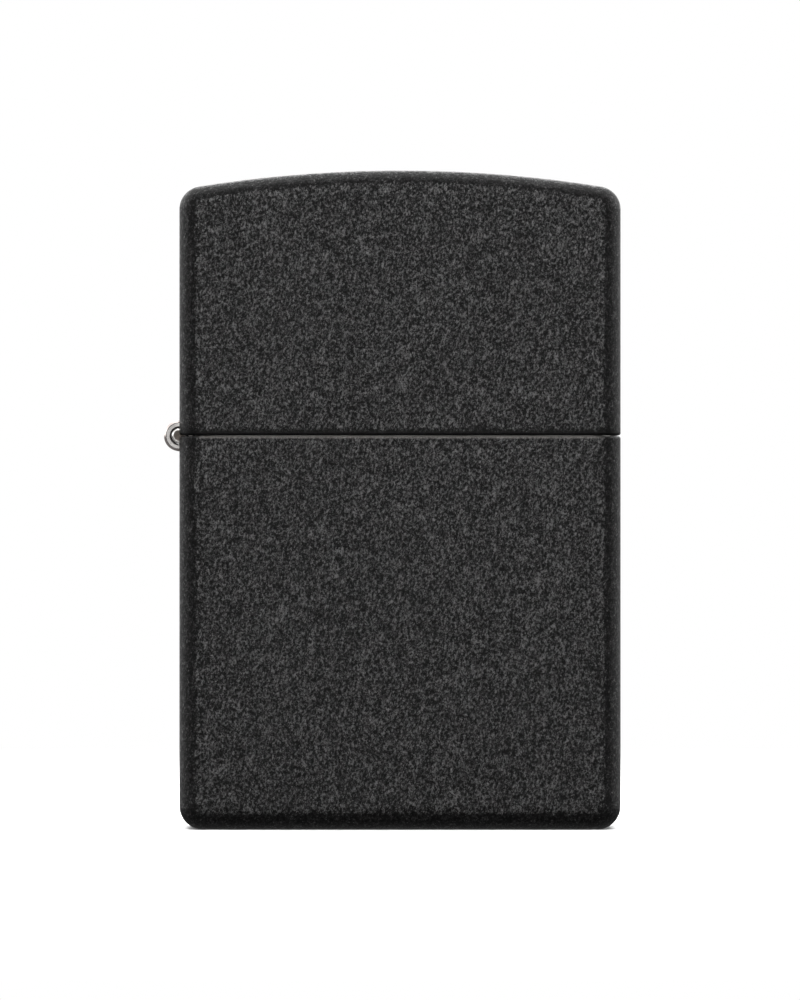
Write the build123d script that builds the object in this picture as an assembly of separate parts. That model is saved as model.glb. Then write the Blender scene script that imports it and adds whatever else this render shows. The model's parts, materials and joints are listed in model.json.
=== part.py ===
from build123d import *
import os
from math import cos, pi, sin, sqrt

# A refillable pocket petrol lighter with a hinged lid, standing closed.
# A drawn case body and lid hold a removable insert: a can with a deck, on which stand a
# perforated windscreen, the striker wheel and the cam that snaps the lid open and shut.
# Millimetres. X runs to the right across the width, Y to the back and Z up.
# The origin is the middle of the body's flat underside.

# Case
case_width = 38.1
case_depth = 12.7
closed_height = 56.9
body_height = 33.95
lid_gap = 0.08
wall = 0.7
edge_radius = 2.05
bottom_radius = 2.0
crown_edge_radius = 2.0
crown_radius = 110.0
rim_radius = 0.2
inner_rim_radius = 0.15

# Hinge
barrel_radius = 1.32
leaf_sheet = 0.6
pin_clearance = 0.05
hinge_length = 8.6
knuckle_count = 5
knuckle_gap = 0.06
barrel_clearance = 0.1
notch_side_gap = 0.12
body_leaf_height = 7.5
lid_leaf_height = 9.0
leaf_corner = 1.2
roll_end_angle = 298.0
barrel_chamfer = 0.16
bore_chamfer = 0.14
pin_overhang = 0.12
pin_chamfer = 0.15

# Insert can
insert_side_gap = 0.2
insert_face_gap = 0.15
insert_leaf_gap = 0.25
insert_sheet = 0.45
insert_corner = 1.6
insert_top_radius = 0.9
deck_rise = 2.4
insert_base_z = 1.45

# Windscreen, places measured from the middle of the case and from the deck
screen_sheet = 0.5
screen_left = -9.6
screen_shoulder = 2.2
screen_half_depth = 4.55
screen_height = 16.8
screen_corner = 1.4
ear_start = 3.4
ear_end = 11.4
ear_half_gap = 2.6
ear_top = 13.3
ear_foot_height = 2.6
ear_slope_end = 9.2
hole_radius = 1.2
hole_pitch = 3.6
hole_row_gap = 3.2
hole_top_row = 13.6
hole_rows = 3
hole_columns = 3
tab_width = 2.6
tab_foot = 1.3
tab_clearance = 0.05
tab_inset = 2.2

# Cam, its ears, spring and rivets
cam_from_hinge_x = 7.0
cam_from_hinge_z = 4.5
cam_width = 4.0
cam_side_gap = 0.2
cam_hub_radius = 1.75
cam_arm_root_radius = 1.45
cam_flat_distance = 1.35
cam_swing = 40.0
cam_nose_radius = 0.7
cam_nose_distance = 6.1
cam_nose_angle = 140.0
cam_rivet_radius = 0.6
cam_ear_radius = 1.85
cam_ear_height = 5.2
cam_ear_lift = 0.3
spring_gap = 0.1
spring_thickness = 0.3
spring_width = 3.2
spring_overrun = 2.2
spring_rivet_inset = 2.0
spring_tail = 1.3
spring_rivet_radius = 0.5
rivet_fit = 0.02
running_clearance = 0.05
rivet_head_height = 0.4

# Striker wheel and flint train
wheel_x = 6.9
wheel_height = 11.6
wheel_radius = 3.6
wheel_width = 4.2
wheel_hub_radius = 1.7
wheel_hub_gap = 0.1
wheel_chamfer = 0.25
tooth_count = 36
tooth_depth = 0.28
wheel_rivet_radius = 0.9
wheel_rivet_head_radius = 1.55
tube_radius = 2.0
tube_bore_radius = 1.375
tube_base_z = 3.2
tube_below_wheel = 0.9
tube_bevel = 0.3
flint_radius = 1.2
flint_length = 5.0
flint_gap = 0.04
flint_chamfer = 0.1
follower_length = 3.0
follower_stem_radius = 0.65
follower_stem_length = 1.4
screw_head_radius = 2.5
screw_head_height = 1.5
screw_head_chamfer = 0.2
screw_slot_width = 0.8
screw_slot_depth = 0.7
screw_shank_length = 6.3
spring_wire_radius = 0.2
spring_coil_radius = 1.0
spring_pitch = 1.8

# Wick, felt and cotton
wick_x = -3.7
wick_radius = 1.4
wick_core_radius = 0.3
wick_core_gap = 0.03
wick_rise = 9.0
wick_swing = 4.4
wick_turns = 4
wick_straight_z = 33.0
wick_bend_radius = 2.5
soft_gap = 0.15
felt_base_z = 2.4
felt_thickness = 2.2
felt_screw_gap = 0.4
cotton_top_drop = 1.9
cotton_pads = 5
cotton_corner = 1.5

# Places that follow from the driving dimensions
pin_radius = barrel_radius - leaf_sheet - pin_clearance
bore_radius = barrel_radius - leaf_sheet
hinge_x = -case_width / 2 + wall - bore_radius
hinge_z = body_height + lid_gap / 2
leaf_inner_x = hinge_x + barrel_radius
knuckle_pitch = hinge_length / knuckle_count

insert_left = leaf_inner_x + insert_leaf_gap
insert_right = case_width / 2 - wall - insert_side_gap
insert_width = insert_right - insert_left
insert_x = (insert_left + insert_right) / 2
insert_depth = case_depth - 2 * wall - 2 * insert_face_gap
deck_z = body_height + deck_rise
under_deck_z = deck_z - insert_sheet

cam_x = hinge_x + cam_from_hinge_x
cam_z = hinge_z + cam_from_hinge_z
cam_ear_inside = cam_width / 2 + cam_side_gap
spring_top_z = cam_z - cam_flat_distance - spring_gap
spring_rivet_x = screen_left + spring_rivet_inset

wheel_z = deck_z + wheel_height
tube_top_z = wheel_z - wheel_radius - tube_below_wheel
flint_top_z = wheel_z - wheel_radius - flint_gap
flint_base_z = flint_top_z - flint_length
follower_base_z = flint_base_z - follower_length
screw_top_z = tube_base_z + screw_shank_length
felt_top_z = felt_base_z + felt_thickness
cotton_top_z = under_deck_z - cotton_top_drop


def upright_block(width, depth, height, corner):
    """Block with rounded upright edges, standing on z = 0."""
    return extrude(RectangleRounded(width, depth, corner), height)


def cross_rod(radius, length):
    """Rod along Y, centred on the origin."""
    return Rot(90, 0, 0) * Cylinder(radius, length)


def cup(width, depth, height, corner, bottom_edge):
    """Upright block whose bottom edges are rounded."""
    block = upright_block(width, depth, height, corner)
    return fillet(block.faces().sort_by(Axis.Z)[0].edges(), bottom_edge)


def soften_rim(rim_face):
    """Round both edges of a cup's open rim."""
    shell = fillet(rim_face.outer_wire().edges(), rim_radius)
    inside = shell.faces().filter_by(Axis.Z).filter_by(
        lambda face: abs(face.center().Z - rim_face.center().Z) < lid_gap / 2
    )[0].inner_wires()[0].edges()
    return fillet(inside, inner_rim_radius)


def hinge_notch():
    """Space in both left walls for the hinge barrel."""
    reach = barrel_radius + barrel_clearance
    length = hinge_length + 2 * notch_side_gap
    return Pos(-case_width / 2, 0, hinge_z) * Box(2 * wall + barrel_clearance, length, 2 * reach)


def case_body():
    outside = cup(case_width, case_depth, body_height, edge_radius, bottom_radius)
    hollow = cup(
        case_width - 2 * wall, case_depth - 2 * wall, body_height, edge_radius - wall, bottom_radius - wall
    )
    shell = outside - Pos(0, 0, wall) * hollow
    shell = soften_rim(shell.faces().sort_by(Axis.Z)[-1])
    return shell - hinge_notch()


def arched_block(inset):
    """Lid shape with an arched top and rounded edges; inset is the distance in from the outside."""
    half_width = case_width / 2 - inset
    base_z = body_height + lid_gap
    radius = crown_radius - inset
    crown_z = closed_height - inset
    shoulder_z = crown_z - radius + sqrt(radius**2 - half_width**2)
    sides = Polyline(
        (-half_width, shoulder_z), (-half_width, base_z), (half_width, base_z), (half_width, shoulder_z)
    )
    arch = ThreePointArc((half_width, shoulder_z), (0, crown_z), (-half_width, shoulder_z))
    outline = Plane.XZ * make_face(sides + arch)
    block = extrude(outline, case_depth / 2 - inset, both=True)
    block = fillet(block.edges().filter_by(Axis.Z), edge_radius - inset)
    return fillet(block.faces().sort_by(Axis.Z)[-1].edges(), crown_edge_radius - inset)


def case_lid():
    shell = arched_block(0) - arched_block(wall)
    shell = soften_rim(shell.faces().sort_by(Axis.Z)[0])
    return shell - hinge_notch()


def knuckle_y(index):
    """Middle of a knuckle, counted from the front."""
    return (index - (knuckle_count - 1) / 2) * knuckle_pitch


def rolled_section(side, reach):
    """Section of a knuckle: the sheet comes along the wall, then rolls round the pin."""
    end = roll_end_angle * pi / 180

    def on_roll(radius, angle):
        return (radius * cos(angle), -side * radius * sin(angle))

    return make_face(
        [
            Line((bore_radius, side * reach), (bore_radius, 0)),
            ThreePointArc((bore_radius, 0), on_roll(bore_radius, end / 2), on_roll(bore_radius, end)),
            Line(on_roll(bore_radius, end), on_roll(barrel_radius, end)),
            ThreePointArc(on_roll(barrel_radius, end), on_roll(barrel_radius, end / 2), (barrel_radius, 0)),
            Line((barrel_radius, 0), (barrel_radius, side * reach)),
            Line((barrel_radius, side * reach), (bore_radius, side * reach)),
        ]
    )


def hinge_leaf(own_knuckles, height, side):
    """A flat plate on the inside of a wall, rolled round the pin at its own knuckles.

    side is -1 for the leaf that hangs down in the body and +1 for the one that stands in the lid.
    """
    reach = barrel_radius + barrel_clearance
    plate = extrude(Plane.YZ * RectangleRounded(hinge_length, 2 * height, leaf_corner), leaf_sheet)
    below = Pos(0, 0, side * (reach + height)) * Box(4 * barrel_radius, 2 * hinge_length, 2 * height)
    leaf = Pos(bore_radius, 0, 0) * plate & below
    knuckle = extrude(Plane.XZ * rolled_section(side, reach), (knuckle_pitch - knuckle_gap) / 2, both=True)
    for index in own_knuckles:
        leaf += Pos(0, knuckle_y(index), 0) * knuckle
    mouth = Cone(bore_radius + 2 * bore_chamfer, bore_radius, 2 * bore_chamfer)
    for end in (-1, 1):
        leaf -= Pos(0, end * hinge_length / 2, 0) * Rot(90 * end, 0, 0) * mouth
    return Pos(hinge_x, 0, hinge_z) * leaf


def hinge_leaf_body():
    """The leaf with both end knuckles, whose outer edges are bevelled."""
    leaf = hinge_leaf(range(0, knuckle_count, 2), body_leaf_height, -1)
    end_edges = [
        edge
        for edge in leaf.edges().filter_by(GeomType.CIRCLE)
        if abs(edge.radius - barrel_radius) < knuckle_gap
        and abs(edge.center().Y) > hinge_length / 2 - knuckle_gap
    ]
    return chamfer(end_edges, barrel_chamfer)


def hinge_leaf_lid():
    return hinge_leaf(range(1, knuckle_count, 2), lid_leaf_height, 1)


def hinge_pin():
    pin = cross_rod(pin_radius, hinge_length + 2 * pin_overhang)
    pin = chamfer(pin.edges().filter_by(GeomType.CIRCLE), pin_chamfer)
    return Pos(hinge_x, 0, hinge_z) * pin


def tab_places():
    """Where the windscreen's four tabs pass through the deck: x, and the side in y."""
    left = screen_left + tab_inset
    right = screen_shoulder - tab_inset
    return [(x, side) for x in (left, right) for side in (-1, 1)]


def insert_shell():
    outside = upright_block(insert_width, insert_depth, deck_z - insert_base_z, insert_corner)
    outside = fillet(outside.faces().sort_by(Axis.Z)[-1].edges(), insert_top_radius)
    hollow = upright_block(
        insert_width - 2 * insert_sheet,
        insert_depth - 2 * insert_sheet,
        under_deck_z - insert_base_z,
        insert_corner - insert_sheet,
    )
    hollow = fillet(hollow.faces().sort_by(Axis.Z)[-1].edges(), insert_top_radius - insert_sheet)
    shell = Pos(insert_x, 0, insert_base_z) * (outside - hollow)
    for x, radius in (
        (wick_x, wick_radius + soft_gap),
        (wheel_x, tube_radius + rivet_fit),
        (spring_rivet_x, spring_rivet_radius + rivet_fit),
    ):
        shell -= Pos(x, 0, deck_z) * Cylinder(radius, 4 * insert_sheet)
    slot_depth = screen_sheet + 2 * tab_clearance
    for x, side in tab_places():
        slot = Box(tab_width + 2 * tab_clearance, slot_depth, 4 * insert_sheet)
        shell -= Pos(x, side * (screen_half_depth - screen_sheet / 2), deck_z) * slot
    return shell


def windscreen_plan():
    """Closed outline of the windscreen seen from above."""
    ear = ear_half_gap + screen_sheet
    corners = [
        (ear_end, -ear),
        (ear_start, -ear),
        (screen_shoulder, -screen_half_depth),
        (screen_left, -screen_half_depth),
        (screen_left, screen_half_depth),
        (screen_shoulder, screen_half_depth),
        (ear_start, ear),
        (ear_end, ear),
    ]
    plan = make_face(Polyline(*corners, close=True))
    return fillet(plan.vertices().filter_by_position(Axis.X, screen_left, screen_left), screen_corner)


def windscreen_side():
    """Outline of the windscreen seen from the front, ears included."""
    outline = make_face(
        Polyline(
            (screen_left, 0),
            (screen_left, screen_height),
            (screen_shoulder + screen_sheet, screen_height),
            (ear_start + screen_sheet, ear_top),
            (ear_slope_end - screen_sheet, ear_top),
            (ear_slope_end, ear_top - 2 * screen_sheet),
            (ear_end, ear_foot_height),
            (ear_end, 0),
            close=True,
        )
    )
    upper = outline.vertices().filter_by_position(Axis.Y, ear_foot_height, screen_height)
    right = upper.filter_by_position(Axis.X, screen_shoulder, ear_end)
    return fillet(right, screen_sheet)


def cam_ear():
    """One of the two ears that are folded out of the windscreen's left wall."""
    root_x = screen_left + screen_sheet
    strip = make_face(
        Polyline(
            (cam_x, deck_z + cam_ear_lift),
            (root_x, deck_z + cam_ear_lift),
            (root_x, deck_z + cam_ear_height),
            (screen_left, deck_z + cam_ear_height),
            (cam_x, cam_z + cam_ear_radius),
            close=True,
        )
    )
    profile = strip + Pos(cam_x, cam_z) * Circle(cam_ear_radius)
    return extrude(Plane.XZ * profile, screen_sheet / 2, both=True)


def windscreen_tab(side):
    """Tab that passes through the deck and is folded in under it, at the origin's x."""
    drop = insert_sheet + screen_sheet
    middle_y = screen_half_depth - screen_sheet / 2
    upright = Pos(0, side * middle_y, deck_z - drop / 2) * Box(tab_width, screen_sheet, drop)
    foot_y = side * (screen_half_depth - tab_foot / 2)
    foot = Pos(0, foot_y, under_deck_z - screen_sheet / 2) * Box(tab_width, tab_foot, screen_sheet)
    return upright + foot


def windscreen():
    plan = windscreen_plan()
    mouth = Pos(ear_end, 0) * Rectangle(4 * screen_sheet, 2 * ear_half_gap)
    inside = offset(plan, -screen_sheet, kind=Kind.INTERSECTION) + mouth
    screen = extrude(plan - inside, screen_height)
    screen = screen & extrude(Plane.XZ * windscreen_side(), case_depth, both=True)
    screen = Pos(0, 0, deck_z) * screen
    middle_x = (screen_left + screen_shoulder) / 2
    for row in range(hole_rows):
        columns = hole_columns - row % 2
        for column in range(columns):
            x = middle_x + (column - (columns - 1) / 2) * hole_pitch
            z = deck_z + hole_top_row - row * hole_row_gap
            screen -= Pos(x, 0, z) * cross_rod(hole_radius, case_depth)
    window = Box(4 * screen_sheet, 2 * cam_ear_inside, 2 * cam_ear_height)
    screen -= Pos(screen_left, 0, deck_z) * window
    for side in (-1, 1):
        screen += Pos(0, side * (cam_ear_inside + screen_sheet / 2), 0) * cam_ear()
    for x, side in tab_places():
        screen += Pos(x, 0, 0) * windscreen_tab(side)
    screen -= Pos(cam_x, 0, cam_z) * cross_rod(cam_rivet_radius + rivet_fit, case_depth)
    return screen - Pos(wheel_x, 0, wheel_z) * cross_rod(wheel_rivet_radius + rivet_fit, case_depth)


def cam():
    """Lever with two flats on its hub: one rests on the spring when shut, the other when open."""
    nose_angle = cam_nose_angle * pi / 180
    nose_place = Pos(cam_nose_distance * cos(nose_angle), cam_nose_distance * sin(nose_angle))
    nose = nose_place * Circle(cam_nose_radius)
    root = Circle(cam_arm_root_radius)
    profile = make_hull(nose.edges() + root.edges()) + Circle(cam_hub_radius)
    below = Pos(0, -cam_flat_distance - cam_hub_radius) * Rectangle(6 * cam_hub_radius, 2 * cam_hub_radius)
    profile -= below
    profile -= Rot(0, 0, -cam_swing) * below
    profile -= Circle(cam_rivet_radius + running_clearance)
    return Pos(cam_x, 0, cam_z) * extrude(Plane.XZ * profile, cam_width / 2, both=True)


def cross_rivet(radius, grip, head_radius):
    """Rivet along Y with a domed head at each end of its grip."""
    rivet = cross_rod(radius, grip + 2 * rivet_head_height)
    head = fillet(Cylinder(head_radius, rivet_head_height).edges().group_by(Axis.Z)[-1], rivet_head_height / 2)
    for side in (-1, 1):
        middle = side * (grip + rivet_head_height) / 2
        rivet += Pos(0, middle, 0) * Rot(-90 * side, 0, 0) * head
    return rivet


def cam_rivet():
    grip = 2 * (cam_ear_inside + screen_sheet)
    return Pos(cam_x, 0, cam_z) * cross_rivet(cam_rivet_radius, grip, 2 * cam_rivet_radius)


def cam_spring():
    """Leaf spring: flat on the deck inside the windscreen, then raised under the cam's hub."""
    lift = spring_top_z - spring_thickness - deck_z
    tail_x = spring_rivet_x + spring_tail
    step_x = screen_left
    nose_x = cam_x - spring_overrun
    lower = [(tail_x, 0), (step_x, 0), (step_x - 2 * lift, lift), (nose_x, lift)]
    upper = [(x, z + spring_thickness) for x, z in reversed(lower)]
    strip = extrude(Plane.XZ * make_face(Polyline(*lower, *upper, close=True)), spring_width / 2, both=True)
    hole = Pos(spring_rivet_x, 0, 0) * Cylinder(spring_rivet_radius + rivet_fit, 4 * spring_thickness)
    return Pos(0, 0, deck_z) * (strip - hole)


def cam_spring_rivet():
    """Rivet through the spring and the deck, a head above and a head below."""
    grip = insert_sheet + spring_thickness
    rivet = Rot(90, 0, 0) * cross_rivet(spring_rivet_radius, grip, 2 * spring_rivet_radius)
    return Pos(spring_rivet_x, 0, under_deck_z + grip / 2) * rivet


def striker_wheel():
    """Toothed wheel with a plain hub on each side."""
    outline = []
    for tooth in range(tooth_count):
        for step, radius in ((0, wheel_radius), (0.5, wheel_radius - tooth_depth)):
            angle = 2 * pi * (tooth + step) / tooth_count
            outline.append((radius * cos(angle), radius * sin(angle)))
    wheel = extrude(make_face(Polyline(*outline, close=True)), wheel_width / 2, both=True)
    blank = Cylinder(wheel_radius, wheel_width)
    wheel = wheel & chamfer(blank.edges().filter_by(GeomType.CIRCLE), wheel_chamfer)
    wheel += Cylinder(wheel_hub_radius, 2 * (ear_half_gap - wheel_hub_gap))
    wheel -= Cylinder(wheel_rivet_radius + running_clearance, case_depth)
    return Pos(wheel_x, 0, wheel_z) * Rot(90, 0, 0) * wheel


def striker_rivet():
    grip = 2 * (ear_half_gap + screen_sheet)
    return Pos(wheel_x, 0, wheel_z) * cross_rivet(wheel_rivet_radius, grip, wheel_rivet_head_radius)


def flint_tube():
    length = tube_top_z - tube_base_z
    tube = Cylinder(tube_radius, length)
    tube = chamfer(tube.edges().group_by(Axis.Z)[-1], tube_bevel)
    tube -= Cylinder(tube_bore_radius, 2 * length)
    return Pos(wheel_x, 0, tube_base_z + length / 2) * tube


def flint():
    rod = Cylinder(flint_radius, flint_length)
    rod = chamfer(rod.edges().group_by(Axis.Z)[0], flint_chamfer)
    return Pos(wheel_x, 0, flint_base_z + flint_length / 2) * rod


def flint_follower():
    """Tip that carries the flint, with a stem inside the spring's top coils."""
    tip = Pos(0, 0, follower_length / 2) * Cylinder(flint_radius, follower_length)
    stem = Pos(0, 0, -follower_stem_length / 2) * Cylinder(follower_stem_radius, follower_stem_length)
    return Pos(wheel_x, 0, follower_base_z) * (tip + stem)


def flint_spring():
    height = follower_base_z - screw_top_z - 2 * spring_wire_radius
    path = Helix(spring_pitch, height, spring_coil_radius)
    wire = sweep(Plane(path @ 0, z_dir=path % 0) * Circle(spring_wire_radius), path)
    return Pos(wheel_x, 0, screw_top_z + spring_wire_radius) * wire


def flint_screw():
    """Slotted screw that closes the tube from below and seats the spring."""
    head = Cylinder(screw_head_radius, screw_head_height)
    head = chamfer(head.edges().group_by(Axis.Z)[0], screw_head_chamfer)
    head = Pos(0, 0, -screw_head_height / 2) * head
    slot = Pos(0, 0, -screw_head_height) * Box(
        2 * screw_head_radius, screw_slot_width, 2 * screw_slot_depth
    )
    shank_radius = tube_bore_radius - running_clearance
    shank = Pos(0, 0, screw_shank_length / 2) * Cylinder(shank_radius, screw_shank_length)
    return Pos(wheel_x, 0, tube_base_z) * (head - slot + shank)


def wick_path():
    """The wick runs straight down through the deck and winds through the cotton below it."""
    bottom_z = felt_top_z + wick_radius
    bends = [(wick_x, 0, deck_z + wick_rise), (wick_x, 0, wick_straight_z)]
    step = (wick_straight_z - bottom_z) / wick_turns
    for turn in range(1, wick_turns):
        sway = -wick_swing if turn % 2 else wick_swing
        bends.append((wick_x + sway, 0, wick_straight_z - turn * step))
    bends.append((wick_x, 0, bottom_z))
    return FilletPolyline(*bends, radius=wick_bend_radius)


def rod_on_wick_path(radius, bore=0):
    path = wick_path()
    section = Circle(radius)
    if bore:
        section -= Circle(bore)
    return sweep(Plane(path @ 0, z_dir=path % 0) * section, path)


def wick():
    return rod_on_wick_path(wick_radius, wick_core_radius + wick_core_gap)


def wick_core():
    return rod_on_wick_path(wick_core_radius)


def soft_block(base_z, height, corner):
    """Soft filling that reaches almost to the can's walls."""
    width = insert_width - 2 * insert_sheet - 2 * soft_gap
    depth = insert_depth - 2 * insert_sheet - 2 * soft_gap
    return Pos(insert_x, 0, base_z) * upright_block(width, depth, height, corner)


def felt_pad():
    pad = soft_block(felt_base_z, felt_thickness, insert_corner - insert_sheet)
    return pad - Pos(wheel_x, 0, felt_base_z) * Cylinder(screw_head_radius + felt_screw_gap, case_depth)


def cotton_pad(index, around):
    """One layer of the packing, counted from the bottom, clear of the wick and the tube."""
    pitch = (cotton_top_z - felt_top_z - soft_gap) / cotton_pads
    pad = soft_block(felt_top_z + soft_gap + index * pitch, pitch - soft_gap, cotton_corner)
    return pad - around


def cotton():
    """The packing's layers by node name."""
    tube = Pos(wheel_x, 0, deck_z / 2) * Cylinder(tube_radius + soft_gap, deck_z)
    around = rod_on_wick_path(wick_radius + soft_gap) + tube
    return {f"cotton_pad_{index + 1}": cotton_pad(index, around) for index in range(cotton_pads)}


nodes = {
    "case_body": case_body(),
    "case_lid": case_lid(),
    "hinge_leaf_body": hinge_leaf_body(),
    "hinge_leaf_lid": hinge_leaf_lid(),
    "hinge_pin": hinge_pin(),
    "insert_shell": insert_shell(),
    "windscreen": windscreen(),
    "cam": cam(),
    "cam_rivet": cam_rivet(),
    "cam_spring": cam_spring(),
    "cam_spring_rivet": cam_spring_rivet(),
    "striker_wheel": striker_wheel(),
    "striker_rivet": striker_rivet(),
    "flint_tube": flint_tube(),
    "flint": flint(),
    "flint_follower": flint_follower(),
    "flint_spring": flint_spring(),
    "flint_screw": flint_screw(),
    "wick": wick(),
    "wick_core": wick_core(),
    "felt_pad": felt_pad(),
    **cotton(),
}

os.makedirs("parts", exist_ok=True)
for name, shape in nodes.items():
    export_step(shape, f"parts/{name}.step")
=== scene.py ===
import json
import math

import bpy
import numpy as np
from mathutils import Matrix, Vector


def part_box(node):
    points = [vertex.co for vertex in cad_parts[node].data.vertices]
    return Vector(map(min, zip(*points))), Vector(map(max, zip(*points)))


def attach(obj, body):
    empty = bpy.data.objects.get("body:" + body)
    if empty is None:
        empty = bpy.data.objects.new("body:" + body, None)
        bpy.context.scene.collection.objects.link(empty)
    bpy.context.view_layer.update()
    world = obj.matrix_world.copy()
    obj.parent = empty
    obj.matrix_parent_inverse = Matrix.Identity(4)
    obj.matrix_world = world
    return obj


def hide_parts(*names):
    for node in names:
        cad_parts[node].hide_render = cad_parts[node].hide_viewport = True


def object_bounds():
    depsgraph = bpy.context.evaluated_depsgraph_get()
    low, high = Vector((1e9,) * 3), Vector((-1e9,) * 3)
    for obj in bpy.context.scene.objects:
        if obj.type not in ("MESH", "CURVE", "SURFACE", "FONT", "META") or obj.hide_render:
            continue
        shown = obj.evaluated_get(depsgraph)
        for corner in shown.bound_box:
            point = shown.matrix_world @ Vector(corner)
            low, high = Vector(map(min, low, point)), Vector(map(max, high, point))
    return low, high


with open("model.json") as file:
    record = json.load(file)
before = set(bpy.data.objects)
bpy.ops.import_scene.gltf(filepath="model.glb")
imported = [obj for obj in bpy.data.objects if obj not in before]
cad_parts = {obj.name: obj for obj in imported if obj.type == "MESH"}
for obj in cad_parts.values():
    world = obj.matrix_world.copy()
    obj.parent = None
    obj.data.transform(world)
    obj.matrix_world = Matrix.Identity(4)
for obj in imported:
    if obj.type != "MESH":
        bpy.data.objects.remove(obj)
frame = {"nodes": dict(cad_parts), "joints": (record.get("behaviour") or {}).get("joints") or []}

# A closed flip-top petrol lighter in black crackle paint. The CAD nodes carry the shapes. This
# script gives them their finishes, and stands worked pieces in for the wick, the packing, the felt
# and the striker wheel. Materials and named constants are in millimetres unless said otherwise,
# and objects are in metres.

MM = 0.001
SEED = 7

cad_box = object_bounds()
cad_low, cad_high = Vector(cad_box[0]), Vector(cad_box[1])
node = frame["nodes"]
body_low, body_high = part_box("case_body")
lid_low, lid_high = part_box("case_lid")
closed_height = lid_high.z - body_low.z


# ---------------------------------------------------------------- node materials

# on_flats, the mask that paints shade onto rounded edges and less onto those that tilt upwards to the
# light: its value on a rounded edge, how much an upward tilt makes up for the rounding, how much the
# noise frays the change, and where the change runs.
EDGE_SHARE = 0.35
UPPER_SHARE = 0.13
FRAY_SHARE = 0.12
FLAT_SPAN = (1.0, 1.055)


def opaque(colour):
    return (*colour, 1.0) if isinstance(colour, tuple) else colour


class Nodes:
    """The node tree of a material or of the world, being built."""

    def __init__(self, owner):
        owner.use_nodes = True
        self.tree = owner.node_tree
        self.tree.nodes.clear()

    def add(self, kind, inputs=None, **settings):
        made = self.tree.nodes.new("ShaderNode" + kind)
        for key, value in settings.items():
            setattr(made, key, value)
        for key, value in (inputs or {}).items():
            if isinstance(value, bpy.types.NodeSocket):
                self.tree.links.new(value, made.inputs[key])
            else:
                made.inputs[key].default_value = value
        return made

    def maths(self, operation, *values):
        return self.add("Math", dict(enumerate(values)), operation=operation).outputs[0]

    def split(self, vector):
        return self.add("SeparateXYZ", {0: vector}).outputs

    def mix(self, factor, first, second):
        """first where factor is 0, second where it is 1; both are plain numbers."""
        return self.add("Mix", {0: factor, 2: first, 3: second}).outputs[0]

    def ramp(self, value, stops):
        """Grey levels from (place, level) stops, in order of place."""
        made = self.add("ValToRGB", {0: value})
        ramp_stops = made.color_ramp.elements
        for index, (place, level) in enumerate(stops):
            stop = ramp_stops[index] if index < 2 else ramp_stops.new(place)
            stop.position = place
            stop.color = (level, level, level, 1.0)
        return made.outputs[0]

    def for_camera(self, unseen, seen):
        """The seen shader for the camera's own rays, the unseen one for all other light."""
        is_camera = self.add("LightPath").outputs["Is Camera Ray"]
        return self.add("MixShader", {0: is_camera, 1: unseen.outputs[0], 2: seen.outputs[0]})


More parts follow.
